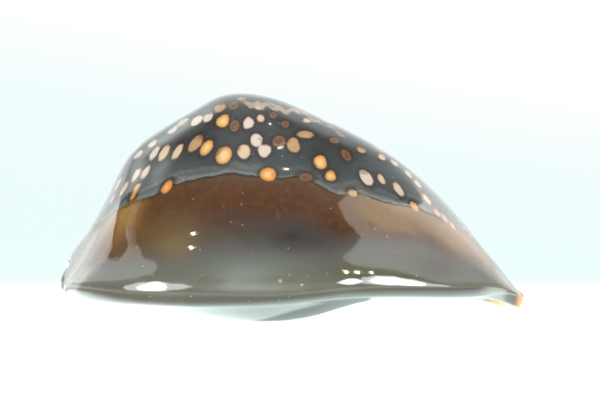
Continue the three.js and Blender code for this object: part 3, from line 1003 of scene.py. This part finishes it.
lip = on_mesh("lip")
toward_slit = calc("MULTIPLY_ADD", plus(lip, ripple, 0.5), 0.26, 0.78, clamp=True)
under_layers = [
    (TOOTH_BROWN, rise(on_mesh("tooth"), 0.28, 0.55), 0.9),
    (PALE_UNDER, rise(x_mm, 31.0, 34.0), rise(x_mm, 37.0, 35.5), 0.6),
]
past_line = on_mesh("end")
end_height = rise(z_mm, 16.5, 13.5)
low_end = rise(plus(plus(x_mm, z_mm, -0.85), ripple, 1.2), -40.1, -41.1)
far_tip = times(rise(on_mesh("side"), 0.0, 0.4), rise(z_mm, 4.8, 3.9))
tip_x = plus(plus(on_mesh("edge_x"), on_mesh("side"), 0.75), far_tip, 3.2)
tip_share = plus(rise(tip_x, 37.6, 39.7), times(far_tip, rise(tip_x, 42.5, 38.0)), -0.5)
colour = over(
    colour,
    (over(ramp(toward_slit, BASE_COLOURS), *under_layers), rise(lip, -3.0, -2.6)),
    # partly painted sheen: the pale back end past its line, and low at its corner
    (PALE_END, rise(past_line, 0.15, -0.15), end_height, 0.9),
    (PALE_END, low_end, rise(z_mm, 10.0, 7.5), 0.85),
    (END_LINE_GREY, hill(past_line, 0.0, 0.16), end_height, 0.7),
    (TIP_BROWN, rise(tip_x, 35.6, 37.2), rise(z_mm, 3.2, 4.2), 0.85),
    (ramp(tip_share, TIP_COLOURS), rise(plus(tip_x, ripple, 1.6), 37.4, 38.5)),
)
colour = over(CAVITY_LILAC, (colour, on_mesh("outside")))
print("colour nodes:", len(tree.nodes))

# %% Gloss, clear coat and the slow ripple of the enamel
EDGE_SWELL = 0.85
EDGE_SWELL_REACH = 7.0
ENAMEL_IOR = 1.6
COAT_IOR = 1.5
COAT_ROUGHNESS = 0.02
GLOSS = 0.06
GLOSS_WEAR = 0.07

plain_above = on_mesh("mantle")
height = times(rise(calc("ABSOLUTE", plain_above), EDGE_SWELL_REACH, 0.0), EDGE_SWELL)
silk = times(grain(1.3, 2.0, stretched(0.16, 1.0, 1.0)), rise(plain_above, 2.0, 6.0))
bumps = [(grain(4.6, 1.0), 0.055), (rise(above, -0.25, 0.25), 0.07), (on_spot, -0.012), (silk, 0.012)]
for bump, millimetres in bumps + [(grain(0.35, 3.0), 0.0025)]:
    height = plus(height, bump, millimetres)
normal = add("Bump", {"Strength": 1.0, "Distance": MM, "Height": height}).outputs["Normal"]
shader = add("BsdfPrincipled", {
    "Base Color": colour,
    "Roughness": calc("MULTIPLY_ADD", grain(1.1, 3.0), GLOSS_WEAR, GLOSS),
    "IOR": ENAMEL_IOR,
    "Coat Weight": 1.0,
    "Coat Roughness": COAT_ROUGHNESS,
    "Coat IOR": COAT_IOR,
    "Normal": normal,
    "Coat Normal": normal,
})
add("OutputMaterial", {"Surface": shader.outputs["BSDF"]})
shell_mesh.materials.append(enamel)
print("enamel nodes:", len(tree.nodes), "links:", len(tree.links))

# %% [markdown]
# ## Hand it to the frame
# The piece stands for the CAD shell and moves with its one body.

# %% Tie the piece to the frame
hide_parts("cowrie_shell")
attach(shell, "root")

# %% [markdown]
# ## Floor, surroundings and light
# The shell sits on a sheet whose glow is painted light: it burns out to white where the camera sees it,
# and round the shell it is painted brighter and darker. A mirror-like body is drawn by what it reflects,
# so the surroundings matter more than any lamp: two pale screens, one at each side of the eye, lay
# milky sheens over both ends of the flank, and the dim gap between them leaves the middle clear. Area
# lamps could stand in for them, but a lamp is a plain rectangle.
# Here each screen is an outline drawn on the sky itself, by azimuth and elevation.

# %% The sheet that it lies on
FLOOR_SIZE = 6.0
FLOOR_Z = -0.00002

corners = [(x * FLOOR_SIZE / 2, y * FLOOR_SIZE / 2, FLOOR_Z) for x, y in ((-1, -1), (1, -1), (1, 1), (-1, 1))]
floor_mesh = bpy.data.meshes.new("floor")
floor_mesh.from_pydata(corners, [], [(0, 1, 2, 3)])
floor = in_scene("floor", floor_mesh)
white = bpy.data.materials.new("white_floor")
white.use_nodes = True
floor_mesh.materials.append(white)
print("floor, m:", FLOOR_SIZE, "square")

# %% Its light: a band of shade round the shell, burnt out to white where the camera sees it
FLOOR_PAPER = (0.22, 0.23, 0.23)
FLOOR_ROUGHNESS = 0.9
# Painted light in the floor's glow: brighter under the shell and brighter still under its back end, a painted
# contact shade under its middle, and painted shade in a band round it.
FLOOR_UNDER = (1.02, 1.24, 1.21)
FLOOR_UNDER_BACK = (2.2, 2.5, 2.45)
FLOOR_CONTACT_SHADE = (0.42, 0.52, 0.51)
FLOOR_SHADED = (0.7, 0.74, 0.68)
FLOOR_LIT = (1.32, 1.38, 1.32)
UNDER_LONG = 0.050
UNDER_DEEP = 0.0262
UNDER_BACK_X = (-0.015, -0.026)
CONTACT_X = 0.001
CONTACT_LONG = 0.013
CONTACT_DEEP = 0.017
FLOOR_NEAR_SEEN = (0.96, 0.98, 0.98)
FLOOR_FAR_SEEN = (0.655, 0.775, 0.775)
SEEN_NEAR_REACH = 0.03
SEEN_FAR_REACH = 0.40

tree = white.node_tree
place_on_floor = add("TexCoord").outputs["Object"]


def length_of(vector):
    """The length of a vector."""
    return add("VectorMath", {0: vector}, operation="LENGTH").outputs["Value"]


def from_ellipse(middle_x, half_long, half_deep):
    """How far out a floor point lies from an ellipse under the shell, which itself is at 1."""
    location = (-middle_x / half_long, 0, 0)
    scale = (1 / half_long, 1 / half_deep, 1)
    placed_in = add("Mapping", {"Vector": place_on_floor, "Location": location, "Scale": scale})
    return length_of(placed_in.outputs["Vector"])


from_footprint = from_ellipse(0.0, UNDER_LONG, UNDER_DEEP)
along_floor = add("SeparateXYZ", {0: place_on_floor}).outputs["X"]
# painted light under the shell, with a painted contact shade under its middle
under = over(
    FLOOR_UNDER,
    (FLOOR_UNDER_BACK, rise(along_floor, *UNDER_BACK_X)),
    (FLOOR_CONTACT_SHADE, rise(from_ellipse(CONTACT_X, CONTACT_LONG, CONTACT_DEEP), 1.05, 0.95)),
)
far_off = rise(length_of(place_on_floor), SEEN_NEAR_REACH, SEEN_FAR_REACH)
light = over(
    FLOOR_SHADED,
    (FLOOR_LIT, rise(from_footprint, 1.1, 1.6)),
    (under, rise(from_footprint, 1.06, 0.88)),
    (over(FLOOR_NEAR_SEEN, (FLOOR_FAR_SEEN, far_off)), add("LightPath").outputs["Is Camera Ray"]),
)
put(tree.nodes["Principled BSDF"], {
    "Base Color": FLOOR_PAPER,
    "Roughness": FLOOR_ROUGHNESS,
    "Specular IOR Level": 0.0,
    "Emission Color": light,
    "Emission Strength": 1.0,
})
print("floor nodes:", len(tree.nodes))

# %% Azimuth and elevation on the sky
FULL_TURN = 360.0
RIGHT_ANGLE = 90.0

world = bpy.data.worlds.new("pale_studio")
world.use_nodes = True
bpy.context.scene.world = world
tree = world.node_tree
tree.nodes.clear()
sky_x, sky_y, sky_z = add("SeparateXYZ", {0: add("TexCoord").outputs["Generated"]}).outputs
azimuth = calc("DEGREES", calc("ARCTAN2", sky_x, times(sky_y, -1.0)))
elevation = calc("DEGREES", calc("ARCSINE", sky_z))
round_sky = calc("MULTIPLY_ADD", azimuth, 1 / FULL_TURN, 0.5)


def on_sky(outline, soft):
    """1 inside an outline on the sky and 0 outside, soft degrees wide at its edge. The outline lists
    azimuth right of the eye, lower edge and upper edge, and a ramp keeps both edges round the sky: the
    lower one lies above the upper one at its two ends, so nothing shows past them."""
    stops = [
        ((at + FULL_TURN / 2) / FULL_TURN, (low / RIGHT_ANGLE, high / RIGHT_ANGLE, 0))
        for at, low, high in outline
    ]
    edges = add("SeparateColor", {0: ramp(round_sky, stops)}).outputs
    above_low = calc("SUBTRACT", elevation, times(edges[0], RIGHT_ANGLE))
    below_high = calc("SUBTRACT", times(edges[1], RIGHT_ANGLE), elevation)
    return times(rise(above_low, -soft, soft), rise(below_high, -soft, soft))


def soft_patch(at_azimuth, at_elevation, wide, high):
    """A soft light on the sky: the product of a bell across and a bell up."""
    return times(hill(azimuth, at_azimuth, wide), hill(elevation, at_elevation, high))


print("sky laid out in degrees, nodes:", len(tree.nodes))

# %% The room: dim in front between the screens, brighter behind
ROOM_FRONT = [
    (0.0, (0.9, 0.93, 0.9)),
    (0.22, (0.72, 0.74, 0.71)),
    (0.42, (0.13, 0.13, 0.13)),
    (0.66, (0.05, 0.05, 0.05)),
    (0.8, (0.08, 0.09, 0.09)),
    (0.93, (0.3, 0.33, 0.33)),
    (1.0, (0.5, 0.54, 0.55)),
]
ROOM_BEHIND = [
    (0.0, (0.7, 0.76, 0.76)),
    (0.17, (0.86, 0.93, 0.93)),
    (0.35, (0.98, 1.05, 1.05)),
    (0.85, (0.95, 1.02, 1.02)),
    (0.97, (0.52, 0.56, 0.57)),
    (1.0, (0.45, 0.48, 0.5)),
]
BEHIND_FROM = 122.0
BEHIND_FULL = 166.0
LEFT_GLARE = (1.7, 1.82, 1.78)
RIGHT_GLARE = (0.88, 0.95, 0.95)

room = over(
    ramp(sky_z, ROOM_FRONT),
    (ramp(sky_z, ROOM_BEHIND), rise(calc("ABSOLUTE", azimuth), BEHIND_FROM, BEHIND_FULL)),
    (LEFT_GLARE, soft_patch(-137, 45, 16, 13)),
    (RIGHT_GLARE, soft_patch(152, 55, 14, 8)),
)
print("stops in the room's light:", len(ROOM_FRONT) + len(ROOM_BEHIND))

# %% The screens and the low windows, drawn on the sky
LEFT_GAP = [
    (-136, 32, 26), (-130, 26, 38), (-118, 24, 50), (-102, 23.5, 52), (-84, 26, 46), (-81, 29, 42),
    (-80, 36, 30),
]
LEFT_SCREEN = [
    (-180, 0, 24), (-135, 0, 26), (-120, 4, 26), (-111, 8, 24.8), (-103, 9.5, 24.2), (-96, 10.5, 24.9),
    (-90, 11.5, 26), (-84, 12, 26.8), (-81.5, 13, 28.8), (-80, 13, 44), (-76, 15, 42), (-67, 18, 38.5),
    (-62, 20, 34.5), (-57, 21.5, 32), (-51, 25, 31), (-46, 27, 30.5), (-43, 30.5, 28.5),
]
LEFT_STRIP = [
    (-106, 47, 43), (-102, 45, 49), (-97, 43, 51), (-92, 41, 50), (-87, 38, 47), (-84, 36.5, 45.5),
    (-81.5, 34, 44.5), (-80, 30, 44), (-79, 45, 40),
]
RIGHT_SCREEN = [
    (28, 40, 33), (29.5, 36, 35.5), (32, 34.5, 38.5), (38, 32.5, 44), (44, 32, 49), (49, 30, 53),
    (53, 24, 54), (58, 18, 60), (62, 12, 64), (66, 6, 65), (70, 3, 65.5), (78, 0.5, 65.5), (95, 0, 66),
    (105, 0, 61), (113, 0, 57), (120, 0, 51), (128, 0, 46), (136, 0, 41), (150, 0, 34), (175, 0, 15),
]
LEFT_WINDOW = [
    (-57.5, 9.5, 4.5), (-55, 3.5, 10), (-52, 2.5, 13), (-48, 2, 18), (-42, 2, 20.6), (-37, 3.5, 19.6),
    (-34, 7, 15), (-33, 11, 11), (-32.5, 13, 9),
]
LEFT_DIM_WINDOW = [
    (-70, 8, 3), (-66, 2.5, 10), (-60, 1, 13), (-54, 0, 17), (-48, 0, 19), (-42, 0, 20.5), (-36, 2, 20),
    (-31, 5, 17), (-25, 7, 16.5), (-22, 9, 14), (-20, 12, 12), (-19.5, 14, 10),
]
RIGHT_WINDOW = [
    (21.5, 16.5, 12), (23.5, 12, 17.5), (26, 9.5, 19.5), (29, 8.5, 20.5), (30.5, 10, 18), (32, 16, 12),
]
FAR_RIGHT_WINDOW = [
    (33, 16, 11), (33.6, 14, 14), (35, 9, 18), (38, 6, 22.5), (41, 4, 21.8), (45, 3.5, 20.8),
    (49, 1, 16.5), (52, 0, 12.5), (54, 2, 9), (55.5, 8, 3),
]
RIGHT_DIM_WINDOW = [
    (30, 15, 10), (32, 8, 22), (34, 7, 22.5), (38, 4, 24), (45, 1, 22.5), (50, 0, 18), (55, 0, 10.5),
    (60, 0, 7), (64, 0, 4), (67.5, 4, 0),
]
GAP_DARK = (0.07, 0.07, 0.07)
SCREEN_LOW = (1.05, 1.1, 1.00)
SCREEN_GLOW = (2.0, 1.97, 1.9)
SCREEN_MID = (1.38, 1.42, 1.38)
SCREEN_SHADED = (0.36, 0.38, 0.38)
MIDDLE_GLOW = (2.4, 2.5, 2.35)
DIM_GLOW = (4.9, 5.1, 4.9)
WINDOW_GLOW = (12.0, 12.5, 12.5)
SCREEN_SOFT = 0.7
WINDOW_SOFT = 1.3

left_shade = rise(elevation, 33, 43)
left_glow = over(SCREEN_MID, (SCREEN_SHADED, left_shade), (SCREEN_GLOW, rise(azimuth, -100, -112)))
right_glow = over(SCREEN_LOW, (SCREEN_MID, rise(elevation, 26, 46)), (SCREEN_GLOW, rise(azimuth, 90, 112)))
left_fades = rise(azimuth, -154, -130)
right_fades = rise(azimuth, 162, 134)
room = over(
    room,
    (GAP_DARK, on_sky(LEFT_GAP, SCREEN_SOFT)),
    (left_glow, on_sky(LEFT_SCREEN, SCREEN_SOFT), left_fades),
    (left_glow, on_sky(LEFT_STRIP, SCREEN_SOFT), left_fades),
    (right_glow, on_sky(RIGHT_SCREEN, SCREEN_SOFT), right_fades),
    (MIDDLE_GLOW, soft_patch(-2, 12, 15, 8.5)),
)
for glow, windows in (
    (DIM_GLOW, (LEFT_DIM_WINDOW, RIGHT_DIM_WINDOW)),
    (WINDOW_GLOW, (LEFT_WINDOW, RIGHT_WINDOW, FAR_RIGHT_WINDOW)),
):
    room = over(room, *[(glow, on_sky(outline, WINDOW_SOFT)) for outline in windows])
print("nodes in the room:", len(tree.nodes))

# %% What the camera sees past the shell: a cool white that burns out above
SKY_SEEN = [(0.0, (0.85, 0.975, 0.975)), (0.5, (0.86, 0.98, 0.98)), (1.0, (1.0, 1.0, 1.0))]
SKY_TOP = 0.09
SKY_TILT = 0.16

up_sky = calc("MULTIPLY", plus(sky_z, sky_x, SKY_TILT), 1 / SKY_TOP, clamp=True)
seen = over(room, (ramp(up_sky, SKY_SEEN), add("LightPath").outputs["Is Camera Ray"]))
background = add("Background", {"Color": seen})
add("OutputWorld", {"Surface": background.outputs[0]})
print("nodes in the sky:", len(tree.nodes))

# %% Small warm lamps for the glints
SHELL_MIDDLE = Vector((0.0, 0.0, 0.014))
LAMP_DISTANCE = 1.2
WARM = (1.0, 0.86, 0.62)
GLINTS = {
    "glint_a": (-38.5, 49.3, (0.013, 0.07), 40.0, 80.0),
    "glint_b": (-30.5, 35.5, (0.015, 0.07), 40.0, 80.0),
    "glint_c": (27.0, 28.5, (0.022, 0.06), 0.0, 40.0),
    "glint_d": (31.5, 28.0, (0.022, 0.06), 0.0, 40.0),
    "glint_e": (36.5, 27.5, (0.022, 0.06), 0.0, 40.0),
    "glint_f": (5.0, 20.5, (0.016, 0.08), 0.0, 6.0),
    "glint_g": (11.0, 15.0, (0.016, 0.08), 0.0, 6.0),
    "glint_h": (102.0, 78.0, (0.02, 0.02), 0.0, 25.0),
}


def glint(name, azimuth_right, degrees_up, size, lean, radiance):
    """A small flat lamp that faces the shell, leans by lean degrees in its own plane and hides from the
    camera: its power is radiance times pi times its area."""
    a, e = np.radians(azimuth_right), np.radians(degrees_up)
    away = Vector((np.sin(a) * np.cos(e), -np.cos(a) * np.cos(e), np.sin(e)))
    data = bpy.data.lights.new(name, "AREA")
    data.shape = "RECTANGLE"
    data.size, data.size_y = size
    data.energy = radiance * np.pi * size[0] * size[1]
    data.color = WARM
    made = in_scene(name, data)
    made.location = SHELL_MIDDLE + away * LAMP_DISTANCE
    turned = away.to_track_quat("Z", "Y") @ Quaternion((0, 0, 1), np.radians(lean))
    made.rotation_euler = turned.to_euler()
    made.visible_camera = False


for name, facts in GLINTS.items():
    glint(name, *facts)
print("lamps:", list(GLINTS))

# %% [markdown]
# ## The camera
# A long lens from the outer-lip side, a little above the ground, as a guide pictures a shell: the whole
# outline shows, and the underside is just seen as a pale strip.

# %% Set up the camera
FRAME_WIDTH_AT_SHELL = 0.1051
SENSOR_WIDTH = 36.0
AIM_Z = 0.0206
NEAREST_SEEN = 0.01

camera_data = bpy.data.cameras.new("side_camera")
camera_data.sensor_width = SENSOR_WIDTH
camera_data.lens = SENSOR_WIDTH * EYE_DISTANCE * MM / FRAME_WIDTH_AT_SHELL
camera_data.clip_start = NEAREST_SEEN
camera = in_scene("side_camera", camera_data)
camera.location = (EYE_X * MM, -EYE_DISTANCE * MM, EYE_HEIGHT * MM)
aim = Vector((EYE_X * MM, 0, AIM_Z)) - camera.location
camera.rotation_euler = aim.to_track_quat("-Z", "Y").to_euler()
bpy.context.scene.camera = camera
bpy.context.scene.view_settings.view_transform = "Standard"
bpy.context.scene.view_settings.look = "None"
print("lens, mm:", round(camera_data.lens, 1))
